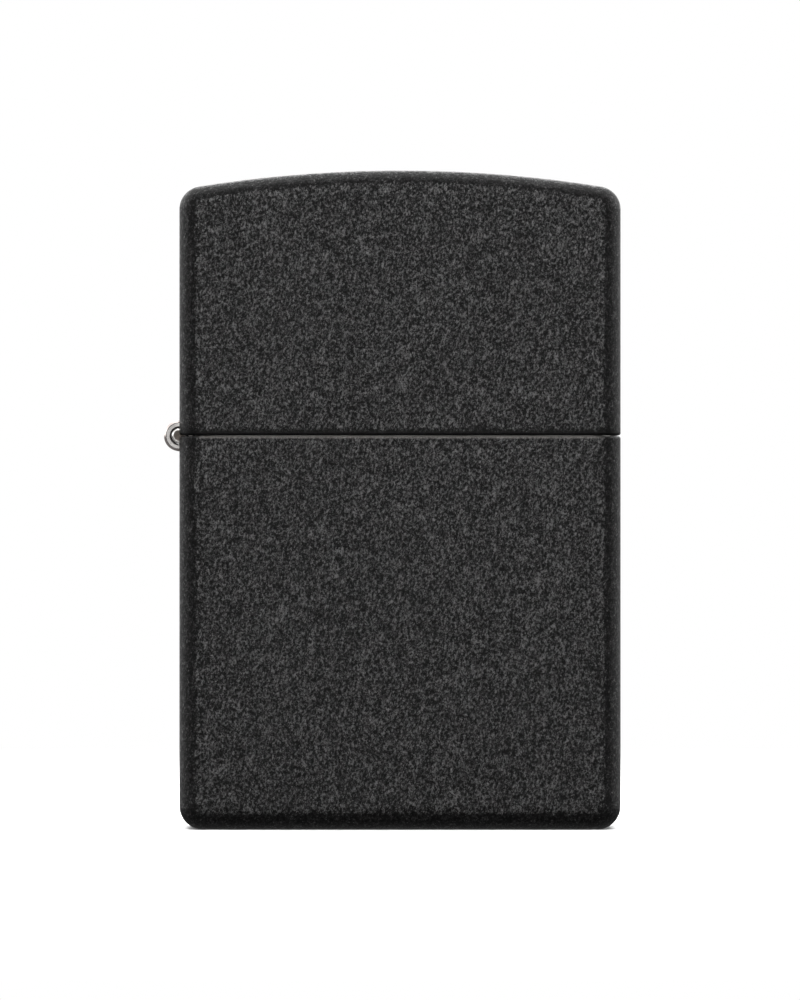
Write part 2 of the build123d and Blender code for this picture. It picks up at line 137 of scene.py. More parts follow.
class Shader(Nodes):
    """A node material being built, with places in millimetres of the CAD frame."""

    def __init__(self, name):
        self.material = bpy.data.materials.new(name)
        super().__init__(self.material)
        coordinates = self.add("TexCoord")
        self.place = self.scaled(coordinates.outputs["Object"], (1 / MM, 1 / MM, 1 / MM))

    def scaled(self, vector, factors):
        return self.add("VectorMath", {0: vector, 1: factors}, operation="MULTIPLY").outputs[0]

    def unsigned(self, vector):
        return self.add("VectorMath", {0: vector}, operation="ABSOLUTE").outputs[0]

    def length(self, vector):
        return self.add("VectorMath", {0: vector}, operation="LENGTH").outputs["Value"]

    def turned(self, vector, axis, angle):
        inputs = {"Vector": vector, "Angle": angle}
        return self.add("VectorRotate", inputs, rotation_type=axis + "_AXIS").outputs[0]

    def noise(self, scale, detail=2.0, roughness=0.5, distortion=0.0, place=None):
        inputs = {
            "Vector": place or self.place,
            "Scale": scale,
            "Detail": detail,
            "Roughness": roughness,
            "Distortion": distortion,
        }
        return self.add("TexNoise", inputs).outputs["Fac"]

    def cells(self, scale):
        return self.add("TexVoronoi", {"Vector": self.place, "Scale": scale}).outputs["Distance"]

    def ridges(self, value):
        """1 where a noise crosses its middle, falling to 0 at its extremes."""
        offset = self.maths("SUBTRACT", value, 0.5)
        distance = self.maths("ABSOLUTE", offset)
        return self.maths("MULTIPLY_ADD", distance, -4.0, 1.0)

    def span(self, value, low, high, to_low=0.0, to_high=1.0):
        """value carried smoothly from low..high to to_low..to_high."""
        inputs = {0: value, 1: low, 2: high, 3: to_low, 4: to_high}
        return self.add("MapRange", inputs, interpolation_type="SMOOTHSTEP").outputs[0]

    def blend(self, factor, first, second):
        """first where factor is 0, second where it is 1; both are colours."""
        inputs = {0: factor, 6: opaque(first), 7: opaque(second)}
        return self.add("Mix", inputs, data_type="RGBA").outputs[2]

    def edges(self, radius):
        """1 on an outer edge that is sharper than radius, 0 on a flat."""
        rounded = self.add("Bevel", {"Radius": radius * MM}, samples=6).outputs[0]
        flat = self.add("NewGeometry").outputs["Normal"]
        same = self.add("VectorMath", {0: rounded, 1: flat}, operation="DOT_PRODUCT").outputs["Value"]
        return self.span(same, 0.98, 0.8)

    def on_flats(self, noise):
        """1 where the surface faces along an axis or tilts a little upwards, less on other edges."""
        normal = self.add("NewGeometry").outputs["Normal"]
        to_object = {"convert_from": "WORLD", "convert_to": "OBJECT"}
        facing = self.add("VectorTransform", {0: normal}, **to_object).outputs[0]
        up = self.maths("MAXIMUM", self.split(facing)[2], 0.0)
        parts = self.split(self.unsigned(facing))
        largest = self.maths("MAXIMUM", self.maths("MAXIMUM", parts[0], parts[1]), parts[2])
        flat = self.maths("MULTIPLY_ADD", up, UPPER_SHARE, largest)
        flat = self.maths("MULTIPLY_ADD", noise, FRAY_SHARE, flat)
        return self.span(flat, *FLAT_SPAN, EDGE_SHARE, 1.0)

    def bump(self, height, distance):
        return self.add("Bump", {"Height": height, "Distance": distance * MM}).outputs[0]

    def surface(self, **inputs):
        """The finished surface; input names have underscores for spaces."""
        named = {key.replace("_", " "): value for key, value in inputs.items()}
        return self.finished(self.add("BsdfPrincipled", named))

    def finished(self, shading):
        self.tree.links.new(shading.outputs[0], self.add("OutputMaterial").inputs[0])
        return self.material


def depth_inside(shader, high, is_lid):
    """Distance from the case's rounded outside in millimetres, negative inside."""
    reach = shader.split(shader.unsigned(shader.place))
    apart = shader.split(shader.place)
    if is_lid:
        square = shader.maths("MULTIPLY", apart[0], apart[0])
        bowed = shader.maths("MULTIPLY_ADD", square, 0.5 / CROWN_RADIUS, apart[2])
        rise = shader.maths("SUBTRACT", bowed, high.z / MM - CASE_EDGE)
    else:
        rise = shader.maths("SUBTRACT", CASE_EDGE, apart[2])
    offsets = {
        0: shader.maths("SUBTRACT", reach[0], high.x / MM - CASE_EDGE),
        1: shader.maths("SUBTRACT", reach[1], high.y / MM - CASE_EDGE),
        2: rise,
    }
    beyond = shader.add("CombineXYZ", offsets).outputs[0]
    outer = shader.add("VectorMath", {0: beyond, 1: (0, 0, 0)}, operation="MAXIMUM").outputs[0]
    deepest = shader.maths("MAXIMUM", shader.maths("MAXIMUM", offsets[0], offsets[1]), offsets[2])
    outside = shader.maths("ADD", shader.length(outer), shader.maths("MINIMUM", deepest, 0.0))
    return shader.maths("SUBTRACT", outside, CASE_EDGE)


def crackle_paint(is_lid):
    """Matt black paint that dried in fine wrinkles, which run up the case and lean a little.

    The paint wraps round the rims and gives way to the bare drawn metal inside.
    """
    shader = Shader("crackle_paint_lid" if is_lid else "crackle_paint_body")
    high = lid_high if is_lid else body_high
    lean = shader.turned(shader.place, "Y", math.radians(PAINT_LEAN))
    lean = shader.scaled(lean, (1.0, 1.0, PAINT_STRETCH))
    grain = shader.noise(PAINT_GRAIN, 3.0, PAINT_CRISP, 0.25, lean)
    wrinkles = shader.ridges(shader.noise(PAINT_WRINKLE, 1.5, 0.5, 0.9, lean))
    swell = shader.noise(PAINT_SWELL, 1.0, 0.5, 0.6, lean)
    relief = shader.maths("MULTIPLY", grain, PAINT_SHARES[0])
    relief = shader.maths("MULTIPLY_ADD", wrinkles, PAINT_SHARES[1], relief)
    relief = shader.maths("MULTIPLY_ADD", swell, PAINT_SHARES[2], relief)
    tone = shader.maths("MAXIMUM", shader.maths("MULTIPLY_ADD", relief, PAINT_GAIN, PAINT_OFFSET), 0.0)
    tone = shader.maths("POWER", tone, PAINT_CONTRAST)
    # Painted glints: small specks that brighten the tone.
    glints = shader.span(shader.noise(PAINT_GLINT, 1.0, 0.5, 0.0, lean), *PAINT_GLINT_SPAN)
    glints = shader.maths("MULTIPLY", glints, PAINT_GLINT_SHARE)
    tone = shader.maths("MULTIPLY_ADD", glints, tone, tone)
    flat = shader.on_flats(grain)
    # Painted shade: the rounded edges take a darker tone, less where they tilt upwards.
    tone = shader.mix(flat, PAINT_EDGE_SHADE_TONE, tone)
    relief = shader.mix(flat, PAINT_EDGE_RELIEF, relief)
    tint = shader.noise(PAINT_TINT, 1.0, 0.5, 0.0, lean)
    lit_ridge = shader.blend(shader.span(tint, 0.35, 0.65), PAINT_RIDGE_LIGHT, PAINT_RIDGE_LIGHT_TINT)
    apart = shader.split(shader.place)
    # Painted shade along the lid's lower rim.
    if is_lid:
        rim = [lid_low.z / MM + above for above in LID_RIM_SHADE_SPAN]
        tone = shader.maths("MULTIPLY", tone, shader.span(apart[2], *rim, 0.05, 1.0))
    # The relief's tone paints shade into the wrinkles' valleys and light onto their ridges, on top of
    # the real bump.
    paint = shader.blend(tone, PAINT_VALLEY_SHADE, lit_ridge)
    # Along the body's rim the paint is rubbed thin and carries a painted highlight, which stops short
    # of the corners.
    if not is_lid:
        rim = [body_high.z / MM - below for below in WORN_HIGHLIGHT_RIM_SPAN]
        ends = [body_high.x / MM - inwards for inwards in WORN_HIGHLIGHT_END_SPAN]
        worn_and_lit = shader.maths("POWER", shader.span(apart[2], *rim), 2.0)
        worn_and_lit = shader.maths("MULTIPLY", worn_and_lit, shader.span(grain, 0.35, 0.6, 0.45, 1.0))
        across = shader.maths("ABSOLUTE", apart[0])
        worn_and_lit = shader.maths("MULTIPLY", worn_and_lit, shader.span(across, *ends))
        paint = shader.blend(worn_and_lit, paint, PAINT_WORN_HIGHLIGHT)
    bare = shader.span(depth_inside(shader, high, is_lid), *BARE_SPAN)
    drawn = shader.noise(1.2, 2.0, 0.6, 0.0, shader.scaled(shader.place, DRAWN_BRUSH))
    drawn_rough = shader.span(drawn, 0.3, 0.7, *DRAWN_ROUGH)
    drawn_relief = shader.maths("MULTIPLY", drawn, DRAWN_RELIEF)
    relief = shader.mix(bare, relief, drawn_relief)
    return shader.surface(
        Base_Color=shader.blend(bare, paint, shader.blend(drawn, DRAWN_DULL, DRAWN_BRIGHT)),
        Metallic=bare,
        Roughness=shader.mix(bare, shader.span(tone, 0.0, 1.0, *PAINT_ROUGH), drawn_rough),
        IOR=1.8,
        Specular_IOR_Level=shader.span(tone, 0.0, 1.0, *PAINT_SHEEN),
        Normal=shader.bump(relief, PAINT_DEPTH),
    )


# The case's outside: the radius of the lid's crown and of the rounded edges.
CROWN_RADIUS = 110.0
CASE_EDGE = 2.0

# The paint's relief: its lean in degrees and its stretch, the scales of its noises (a larger one is
# finer), the shares of grain, wrinkles and swell in it, and its depth.
PAINT_LEAN = -12.0
PAINT_STRETCH = 0.72
PAINT_TINT = 0.8
PAINT_WRINKLE = 1.1
PAINT_SWELL = 1.9
PAINT_GRAIN = 4.7
PAINT_CRISP = 0.92
PAINT_GLINT = 8.5
PAINT_SHARES = (0.9, -0.07, 0.14)
PAINT_DEPTH = 0.12

# How relief becomes tone: (relief * gain + offset) ** contrast, brightened by painted glints on the
# flats.
PAINT_GAIN = 4.0
PAINT_OFFSET = -1.49
PAINT_CONTRAST = 1.8
PAINT_GLINT_SPAN = (0.58, 0.72)
PAINT_GLINT_SHARE = 1.8
PAINT_EDGE_SHADE_TONE = 0.035
PAINT_EDGE_RELIEF = 0.45

# What tone 0 and tone 1 look like: painted shade in the wrinkles' valleys and painted light on their
# ridges.
PAINT_VALLEY_SHADE = (0.0015, 0.0015, 0.0016)
PAINT_RIDGE_LIGHT = (0.077, 0.073, 0.0735)
PAINT_RIDGE_LIGHT_TINT = (0.073, 0.0732, 0.0732)
PAINT_ROUGH = (0.4, 0.3)
PAINT_SHEEN = (0.06, 0.6)

# Painted shade darkens the lid's paint towards its rim. The body's paint is rubbed thin along its own
# rim and carries a painted highlight there, except near the corners: distances from the rim and from
# the sides.
LID_RIM_SHADE_SPAN = (0.1, 0.8)
WORN_HIGHLIGHT_RIM_SPAN = (0.36, 0.05)
WORN_HIGHLIGHT_END_SPAN = (1.4, 2.2)
PAINT_WORN_HIGHLIGHT = (0.21, 0.2, 0.19)

# The bare drawn metal inside, and where it takes over from the paint.
BARE_SPAN = (-0.42, -0.6)
DRAWN_BRUSH = (3.0, 3.0, 0.25)
DRAWN_DULL = (0.50, 0.47, 0.42)
DRAWN_BRIGHT = (0.72, 0.69, 0.63)
DRAWN_ROUGH = (0.34, 0.44)
DRAWN_RELIEF = 0.008


def metal(name, dull, bright, rough, brush, brush_depth=0.004, wear=0.15, soot=None):
    """Worked metal: brushing lines, clouded tarnish, hair scratches and edges rubbed bright.

    brush scales the lines along x, y and z; soot is (place in millimetres, reach) of a sooty spot.
    """
    shader = Shader(name)
    lines = shader.noise(2.2, 4.0, 0.7, 0.0, shader.scaled(shader.place, brush))
    clouds = shader.noise(0.55, 4.0, 0.6, 0.4)
    hairs = shader.noise(0.5, 1.0, 0.4, 1.6, shader.scaled(shader.place, HAIR_STRETCH))
    hairs = shader.span(shader.ridges(hairs), 0.965, 0.995)
    scratch = shader.maths("MULTIPLY", hairs, shader.span(clouds, 0.45, 0.6))
    rubbed = shader.edges(wear)
    base = shader.blend(shader.span(clouds, 0.3, 0.7), dull, bright)
    base = shader.blend(shader.maths("MULTIPLY", lines, 0.35), base, dull)
    polished = tuple(min(POLISH * level, POLISH_LIMIT) for level in bright)
    base = shader.blend(shader.maths("MAXIMUM", rubbed, scratch), base, polished)
    roughness = shader.maths("MULTIPLY_ADD", lines, 0.12, shader.span(clouds, 0.3, 0.7, *rough))
    roughness = shader.maths("MULTIPLY_ADD", rubbed, -0.08, roughness)
    metallic = 1.0
    if soot:
        spot, reach = soot
        away = shader.add("VectorMath", {0: shader.place, 1: spot}, operation="DISTANCE")
        edge = shader.maths("MULTIPLY_ADD", clouds, -0.8 * reach, away.outputs["Value"])
        heat = shader.span(edge, 0.9 * reach, 0.45 * reach)
        black = shader.span(edge, 0.55 * reach, 0.1 * reach, 0.0, 0.85)
        base = shader.blend(shader.maths("MULTIPLY", heat, 0.5), base, STRAW_HEAT)
        base = shader.blend(black, base, SOOT_AND_SHADE)
        roughness = shader.maths("MULTIPLY_ADD", black, 0.4, roughness)
        metallic = shader.maths("SUBTRACT", 1.0, black)
    height = shader.maths("MULTIPLY_ADD", scratch, -1.2, lines)
    return shader.surface(
        Base_Color=base,
        Metallic=metallic,
        Roughness=roughness,
        Normal=shader.bump(height, brush_depth),
    )


HAIR_STRETCH = (1.0, 1.0, 2.6)
POLISH = 1.25
POLISH_LIMIT = 0.9
STRAW_HEAT = (0.42, 0.31, 0.2)
# Soot black, also used for painted shade on the hinge.
SOOT_AND_SHADE = (0.012, 0.011, 0.01)


def barrel_steel():
    """Rolled nickel-plated hinge: painted shade in the gap round the pin, a thin dark ring and a
    stained pin.
    """
    shader = Shader("barrel_steel")
    hinge = next(joint for joint in frame["joints"] if joint["name"] == "lid_hinge")
    axis = tuple(value / MM for value in hinge["pos_m"])
    apart = shader.add("VectorMath", {0: shader.place, 1: axis}, operation="SUBTRACT").outputs[0]
    radius = shader.length(shader.scaled(apart, (1.0, 0.0, 1.0)))
    clouds = shader.noise(0.9, 3.0, 0.55)
    lines = shader.noise(1.6, 3.0, 0.6, 0.0, shader.scaled(shader.place, ROLLED_BRUSH))

    def ring(middle, half_width):
        off = shader.maths("ABSOLUTE", shader.maths("SUBTRACT", radius, middle))
        return shader.span(off, half_width, 0.4 * half_width)

    # Painted shade: a black ring in the gap round the pin.
    pin_gap_shade = ring(PIN_GAP_RADIUS, 0.08)
    # A thin dark ring across the barrel's end.
    dark_ring = shader.maths("MULTIPLY", ring(DARK_RING_RADIUS, 0.05), 0.75)
    stain = shader.span(shader.maths("MULTIPLY_ADD", clouds, 0.2, radius), 0.62, 0.5, 0.0, 0.9)
    outer = shader.span(radius, DARK_RING_RADIUS + 0.01, DARK_RING_RADIUS + 0.07, 0.0, 0.6)
    base = shader.blend(clouds, (0.62, 0.59, 0.57), (0.86, 0.84, 0.82))
    base = shader.blend(outer, base, (0.60, 0.50, 0.47))
    base = shader.blend(stain, base, (0.085, 0.065, 0.05))
    base = shader.blend(shader.maths("MAXIMUM", pin_gap_shade, dark_ring), base, SOOT_AND_SHADE)
    return shader.surface(
        Base_Color=base,
        Metallic=shader.span(pin_gap_shade, 0.0, 1.0, 1.0, 0.2),
        Roughness=shader.span(clouds, 0.3, 0.7, 0.18, 0.3),
        Normal=shader.bump(lines, 0.004),
    )


PIN_GAP_RADIUS = 0.70
DARK_RING_RADIUS = 1.13


def ferrocerium():
    """Dull grey flint with a grainy, pitted surface."""
    shader = Shader("ferrocerium")
    pits = shader.cells(2.4)
    grain = shader.noise(3.5, 4.0, 0.7)
    relief = shader.maths("MULTIPLY_ADD", shader.span(pits, 0.1, 0.35), 0.6, grain)
    return shader.surface(
        Base_Color=shader.blend(grain, (0.055, 0.05, 0.05), (0.19, 0.175, 0.165)),
        Metallic=0.7,
        Roughness=shader.span(grain, 0.3, 0.7, 0.5, 0.75),
        Normal=shader.bump(relief, 0.03),
    )


def fibres(name, dull, pale, scale, depth):
    """Matted textile fibres; the looser the material, the smaller the scale."""
    shader = Shader(name)
    curls = shader.ridges(shader.noise(scale, 3.0, 0.6, 2.2))
    turned = shader.turned(shader.place, "X", 0.9)
    finer = shader.ridges(shader.noise(2.6 * scale, 2.0, 0.55, 3.0, turned))
    clumps = shader.noise(0.35 * scale, 3.0, 0.6, 0.5)
    relief = shader.maths("MULTIPLY_ADD", clumps, 0.8, curls)
    relief = shader.maths("MULTIPLY_ADD", finer, 0.5, relief)
    tone = shader.span(relief, 0.7, 1.6)
    return shader.surface(
        Base_Color=shader.blend(tone, dull, pale),
        Roughness=0.95,
        Specular_IOR_Level=0.15,
        Sheen_Weight=0.4,
        Sheen_Roughness=0.5,
        Normal=shader.bump(relief, depth),
    )


def braid_yarn(top):
    """Cotton yarn twisted along each strand of the braid, scorched and then black towards the top."""
    shader = Shader("braid_yarn")
    along, round_strand, _ = shader.split(shader.add("UVMap").outputs[0])
    slant = shader.maths("MULTIPLY", round_strand, YARN_PLIES)
    slant = shader.maths("MULTIPLY_ADD", along, YARN_TWIST, slant)
    twist = shader.maths("SINE", shader.maths("MULTIPLY", slant, 2 * math.pi))
    fuzz = shader.noise(9.0, 3.0, 0.7)
    relief = shader.maths("MULTIPLY_ADD", twist, 0.2, fuzz)
    ragged = shader.noise(1.1, 3.0, 0.65)
    ragged = shader.maths("MULTIPLY_ADD", ragged, 2.2, shader.split(shader.place)[2])
    scorched = shader.span(ragged, top - 3.6, top - 0.9)
    burnt = shader.span(ragged, top - 1.9, top + 0.3)
    yarn = shader.blend(shader.span(relief, 0.3, 0.7), (0.46, 0.40, 0.30), (0.80, 0.75, 0.64))
    yarn = shader.blend(scorched, yarn, (0.16, 0.09, 0.045))
    yarn = shader.blend(burnt, yarn, (0.014, 0.012, 0.011))
    return shader.surface(
        Base_Color=yarn,
        Roughness=0.92,
        Specular_IOR_Level=0.2,
        Sheen_Weight=0.25,
        Normal=shader.bump(relief, 0.05),
    )


# Plies round a strand, and turns of the twist per millimetre.
YARN_PLIES = 2.0
YARN_TWIST = 3.2


# ---------------------------------------------------------------- finishes of the CAD nodes

wick_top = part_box("wick")[1]
FLAME_RISE = 4.0
FLAME_REACH = 9.0
flame = tuple(wick_top / MM + Vector((0, 0, FLAME_RISE)))

UPRIGHT_BRUSH = (5.0, 5.0, 0.25)
LEVEL_BRUSH = (0.3, 0.3, 5.0)
CROSS_BRUSH = (5.0, 0.3, 5.0)
ROLLED_BRUSH = (4.0, 0.4, 4.0)
TURNED_BRUSH = (0.4, 0.4, 6.0)
WIRE_BRUSH = (2.0, 2.0, 0.5)
EVEN_BRUSH = (2.0, 2.0, 2.0)

BRUSHED_STAINLESS = ((0.50, 0.49, 0.47), (0.66, 0.65, 0.63))

# Each is (dull colour, bright colour, their roughnesses, brushing[, its depth[, worn edge]]).
METALS = {
    "pressed_steel": ((0.40, 0.39, 0.37), (0.58, 0.57, 0.55), (0.28, 0.42), CROSS_BRUSH, 0.006),
    "rivet_steel": ((0.48, 0.47, 0.45), (0.66, 0.65, 0.63), (0.2, 0.34), EVEN_BRUSH, 0.005),
    "spring_steel": ((0.24, 0.24, 0.26), (0.42, 0.41, 0.41), (0.24, 0.38), CROSS_BRUSH, 0.003),
    "turned_brass": ((0.52, 0.34, 0.13), (0.78, 0.57, 0.27), (0.22, 0.38), TURNED_BRUSH, 0.006),
    "copper_wire": ((0.42, 0.19, 0.10), (0.80, 0.42, 0.27), (0.25, 0.45), WIRE_BRUSH, 0.01),
    "hard_steel": ((0.10, 0.095, 0.09), (0.24, 0.23, 0.22), (0.3, 0.5), CROSS_BRUSH, 0.006, 0.1),
    "stainless_can": (*BRUSHED_STAINLESS, (0.24, 0.36), UPRIGHT_BRUSH),
}

finishes = {name: metal(name, *looks) for name, looks in METALS.items()}
finishes["stainless_screen"] = metal(
    "stainless_screen", *BRUSHED_STAINLESS, (0.22, 0.36), LEVEL_BRUSH, soot=(flame, FLAME_REACH)
)
finishes["barrel_steel"] = barrel_steel()
finishes["ferrocerium"] = ferrocerium()
finishes["crackle_body"] = crackle_paint(False)
finishes["crackle_lid"] = crackle_paint(True)

FINISHED_NODES = {
    "crackle_body": ["case_body"],
    "crackle_lid": ["case_lid"],
    "barrel_steel": ["hinge_leaf_body", "hinge_leaf_lid", "hinge_pin"],
    "stainless_can": ["insert_shell"],
    "stainless_screen": ["windscreen"],
    "pressed_steel": ["cam"],
    "rivet_steel": ["cam_rivet", "cam_spring_rivet", "striker_rivet"],
    "spring_steel": ["cam_spring", "flint_spring"],
    "turned_brass": ["flint_tube", "flint_follower", "flint_screw"],
    "ferrocerium": ["flint"],
    "copper_wire": ["wick_core"],
}

for finish, names in FINISHED_NODES.items():
    for name in names:
        node[name].data.materials.clear()
        node[name].data.materials.append(finishes[finish])


# ---------------------------------------------------------------- worked pieces


def new_piece(name, mesh, finish, replaced, body):
    """A mesh in the shared frame that stands for a CAD node and moves with its body."""
    piece = bpy.data.objects.new(name, mesh)
    bpy.context.scene.collection.objects.link(piece)
    mesh.materials.clear()
    mesh.materials.append(finish)
    mesh.shade_smooth()
    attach(piece, body)
    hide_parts(replaced)


def length_along(path):
    """How far along the path each of its points lies, in millimetres."""
    steps = np.linalg.norm(np.diff(path, axis=0), axis=1)
    return np.concatenate([[0], np.cumsum(steps)]) / MM


def heading(path):
    """Unit direction of the path at each of its points."""
    along = np.gradient(path, axis=0)
    return along / np.linalg.norm(along, axis=1)[:, None]


def strand(path, outward, width, depth, sides=7):
    """Vertices, quads and UVs of a rounded strand; outward faces its flatter side.

    U runs along the strand in millimetres and V once round it.
    """
    along = heading(path)
    across = np.cross(along, outward)
    across /= np.linalg.norm(across, axis=1)[:, None]
    lifted = np.cross(across, along)
    turn = np.arange(sides) * 2 * math.pi / sides
    wide = np.broadcast_to(width, len(path))[:, None, None]
    deep = np.broadcast_to(depth, len(path))[:, None, None]
    ring = path[:, None] + wide * np.cos(turn)[None, :, None] * across[:, None]
    ring = ring + deep * np.sin(turn)[None, :, None] * lifted[:, None]
    gone = length_along(path)
    quads, places = [], []
    for row in range(len(path) - 1):
        this, following = row * sides, (row + 1) * sides
        start, end = gone[row], gone[row + 1]
        for side in range(sides):
            after = (side + 1) % sides
            quads.append((this + side, this + after, following + after, following + side))
            low, high = side / sides, (side + 1) / sides
            places += [(start, low), (start, high), (end, high), (end, low)]
    last = (len(path) - 1) * sides
    quads += [tuple(reversed(range(sides))), tuple(range(last, last + sides))]
    places += [(0.0, 0.0)] * sides + [(gone[-1], 0.0)] * sides
    return ring.reshape(-1, 3), quads, places


def joined(name, strands):
    """One mesh from (vertices, faces, UVs) of many strands."""
    mesh = bpy.data.meshes.new(name)
    vertices, faces, places, first = [], [], [], 0
    for points, quads, spots in strands:
        vertices.append(points)
        faces += [tuple(first + corner for corner in quad) for quad in quads]
        places += spots
        first += len(points)
    mesh.from_pydata(np.concatenate(vertices).tolist(), [], faces)
    layer = mesh.uv_layers.new(name="UVMap")
    layer.data.foreach_set("uv", np.array(places, dtype=np.float32).ravel())
    return mesh


def wick_line(step):
    """Middle of the wick from bottom to top, found by looking in from both sides at each height."""
    low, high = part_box("wick")
    heights = np.arange(low.z + 0.3 * MM, high.z, step)
    middles = []
    for height in heights:
        sides = []
        for start, way in ((low.x - 5 * MM, 1), (high.x + 5 * MM, -1)):
            eye, look = Vector((start, 0, height)), Vector((way, 0, 0))
            hit, place, _, _ = node["wick"].ray_cast(eye, look)
            sides.append(place.x if hit else sides[-1])
        middles.append(sum(sides) / 2)
    middles = np.convolve(np.pad(middles, 3, mode="edge"), np.ones(7) / 7, mode="valid")
    return np.stack([middles, np.zeros(len(heights)), heights], axis=1)


def braided_wick():
    """Tubular braid of flat strands that pass over and under one another, frayed at the top."""
    chance = np.random.default_rng(SEED)
    line = wick_line(BRAID_STEP * MM)
    gone = length_along(line)
    back = np.array([0.0, 1.0, 0.0])
    side = np.cross(back, heading(line))
    strands = []
    for way in (-1, 1):
        for index in range(BRAID_STRANDS):
            turn = 2 * math.pi * (index / BRAID_STRANDS + way * gone / BRAID_PITCH)
            weave = np.cos(2 * math.pi * BRAID_STRANDS * gone / BRAID_PITCH)
            radius = (BRAID_RADIUS + way * BRAID_WEAVE * weave) * MM
            outward = np.cos(turn)[:, None] * side + np.sin(turn)[:, None] * back
            kept = len(line) - chance.integers(0, 5)
            path = (line + radius[:, None] * outward)[:kept]
            strands.append(strand(path, outward[:kept], BRAID_WIDTH * MM, BRAID_DEPTH * MM))
            for _ in range(FRAY_FIBRES):
                strands.append(fray(chance, path[-1], outward[kept - 1]))
    return joined("braided_wick", strands)


def fray(chance, end, outward):
    """One loose fibre that starts in the end of a strand, leans outwards, curls and thins out."""
    lean = chance.normal(0, 0.3, 3) * (1, 1, 0.3)
    reach = np.linspace(0, chance.uniform(*FRAY_LENGTH), FRAY_POINTS)[:, None] * MM
    curl = chance.normal(0, 0.25, 3) * (1, 1, 0)
    root = end + chance.uniform(-0.2, 0.2, 3) * MM * (1, 1, 0) - (0, 0, 0.3 * MM)
    rise = np.array([0.0, 0.0, 1.0]) + lean + 0.4 * outward
    hair = root + reach * rise + curl * reach**2 / MM
    thin = np.linspace(*FRAY_THIN, FRAY_POINTS) * MM
    return strand(hair, np.tile(outward, (FRAY_POINTS, 1)), thin, thin, 4)


BRAID_STRANDS = 6
BRAID_PITCH = 7.2
BRAID_RADIUS = 0.93
BRAID_WEAVE = 0.12
BRAID_WIDTH = 0.33
BRAID_DEPTH = 0.19
BRAID_STEP = 0.15
FRAY_FIBRES = 6
FRAY_POINTS = 7
FRAY_LENGTH = (0.35, 1.0)
FRAY_THIN = (0.028, 0.008)


def soft_copy(name, voxel, lumps):
    """The CAD node's shape as a fine even mesh, pressed in by soft lumps and never outwards.

    lumps are (size, depth) pairs in millimetres.
    """
    source = node[name]
    soft = bpy.data.objects.new(name + "_soft", source.data.copy())
    bpy.context.scene.collection.objects.link(soft)
    remesh = soft.modifiers.new("remesh", "REMESH")
    remesh.mode = "VOXEL"
    remesh.voxel_size = voxel * MM
    for number, (size, depth) in enumerate(lumps):
        clouds = bpy.data.textures.new(f"{name}_lumps_{number}", "CLOUDS")
        clouds.noise_scale = size * MM
        clouds.noise_depth = 2
        press = soft.modifiers.new(f"press_{number}", "DISPLACE")
        press.texture = clouds
        press.texture_coords = "LOCAL"
        press.mid_level = 1.0
        press.strength = depth * MM
    bpy.context.view_layer.update()
    shaped = soft.evaluated_get(bpy.context.evaluated_depsgraph_get())
    mesh = bpy.data.meshes.new_from_object(shaped)
    bpy.data.objects.remove(soft)
    return mesh


FELT_VOXEL = 0.3
FELT_LUMPS = [(1.6, 0.12), (0.5, 0.06)]
COTTON_VOXEL = 0.38
COTTON_LUMPS = [(3.2, 0.55), (1.0, 0.25)]


def striking_wheel():
    """Hardened wheel whose rim is cut crosswise into rows of small ratchet teeth."""
    low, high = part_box("striker_wheel")
    middle, outer = (low + high) / 2, (high.x - low.x) / 2
    half, hub = (high.y - low.y) / 2, WHEEL_HUB_RADIUS * MM
    face, bevel, bore = WHEEL_HALF_WIDTH * MM, WHEEL_BEVEL * MM, WHEEL_BORE_RADIUS * MM
    rim = [(y, outer, 1.0) for y in np.linspace(-face + bevel, face - bevel, WHEEL_ROWS)]
    left = [
        (-half, bore, 0.0),
        (-half, hub - 0.15 * MM, 0.0),
        (-half + 0.15 * MM, hub, 0.0),
        (-face, hub, 0.0),
        (-face, hub + 0.1 * MM, 0.0),
        (-face, outer - 3.2 * bevel, 0.0),
        (-face, outer - 1.4 * bevel, 0.0),
    ]
    rows = left + rim + [(-y, radius, share) for y, radius, share in reversed(left)]
    columns = WHEEL_TEETH * WHEEL_TOOTH_STEPS
    turn = np.arange(columns) * 2 * math.pi / columns
    vertices = []
    for y, radius, share in rows:
        cuts = []
        for way in (-1, 1):
            phase = turn * WHEEL_TEETH / (2 * math.pi) + way * WHEEL_SLANT * y / (2 * face)
            part = phase % 1.0
            rising, falling = part / WHEEL_RISE, (1 - part) / (1 - WHEEL_RISE)
            cuts.append(np.where(part < WHEEL_RISE, rising, falling))
        depth = share * WHEEL_TOOTH_DEPTH * MM * (1 - np.minimum(cuts[0], cuts[1]))
        reach = radius - depth
        across, up = reach * np.cos(turn), reach * np.sin(turn)
        level = np.full(columns, middle.y + y)
        vertices += np.stack([middle.x + across, level, middle.z + up], axis=1).tolist()
    quads = []
    for row in range(len(rows)):
        below, above = row * columns, (row + 1) % len(rows) * columns
        for column in range(columns):
            after = (column + 1) % columns
            quads.append((below + column, above + column, above + after, below + after))
    mesh = bpy.data.meshes.new("striking_wheel")
    mesh.from_pydata(vertices, [], quads)
    return mesh


WHEEL_TEETH = 36
WHEEL_TOOTH_STEPS = 8
WHEEL_TOOTH_DEPTH = 0.26
WHEEL_SLANT = 6.0
WHEEL_RISE = 0.7
WHEEL_ROWS = 41
WHEEL_HALF_WIDTH = 2.1
WHEEL_HUB_RADIUS = 1.7
WHEEL_BORE_RADIUS = 0.95
WHEEL_BEVEL = 0.12
WHEEL_SHARP_DEGREES = 28


yarn = braid_yarn(wick_top.z / MM)
wadding = fibres("wadding", (0.60, 0.57, 0.50), (0.90, 0.88, 0.83), 1.1, 0.35)
pressed_felt = fibres("pressed_felt", (0.36, 0.34, 0.30), (0.66, 0.63, 0.57), 2.6, 0.12)

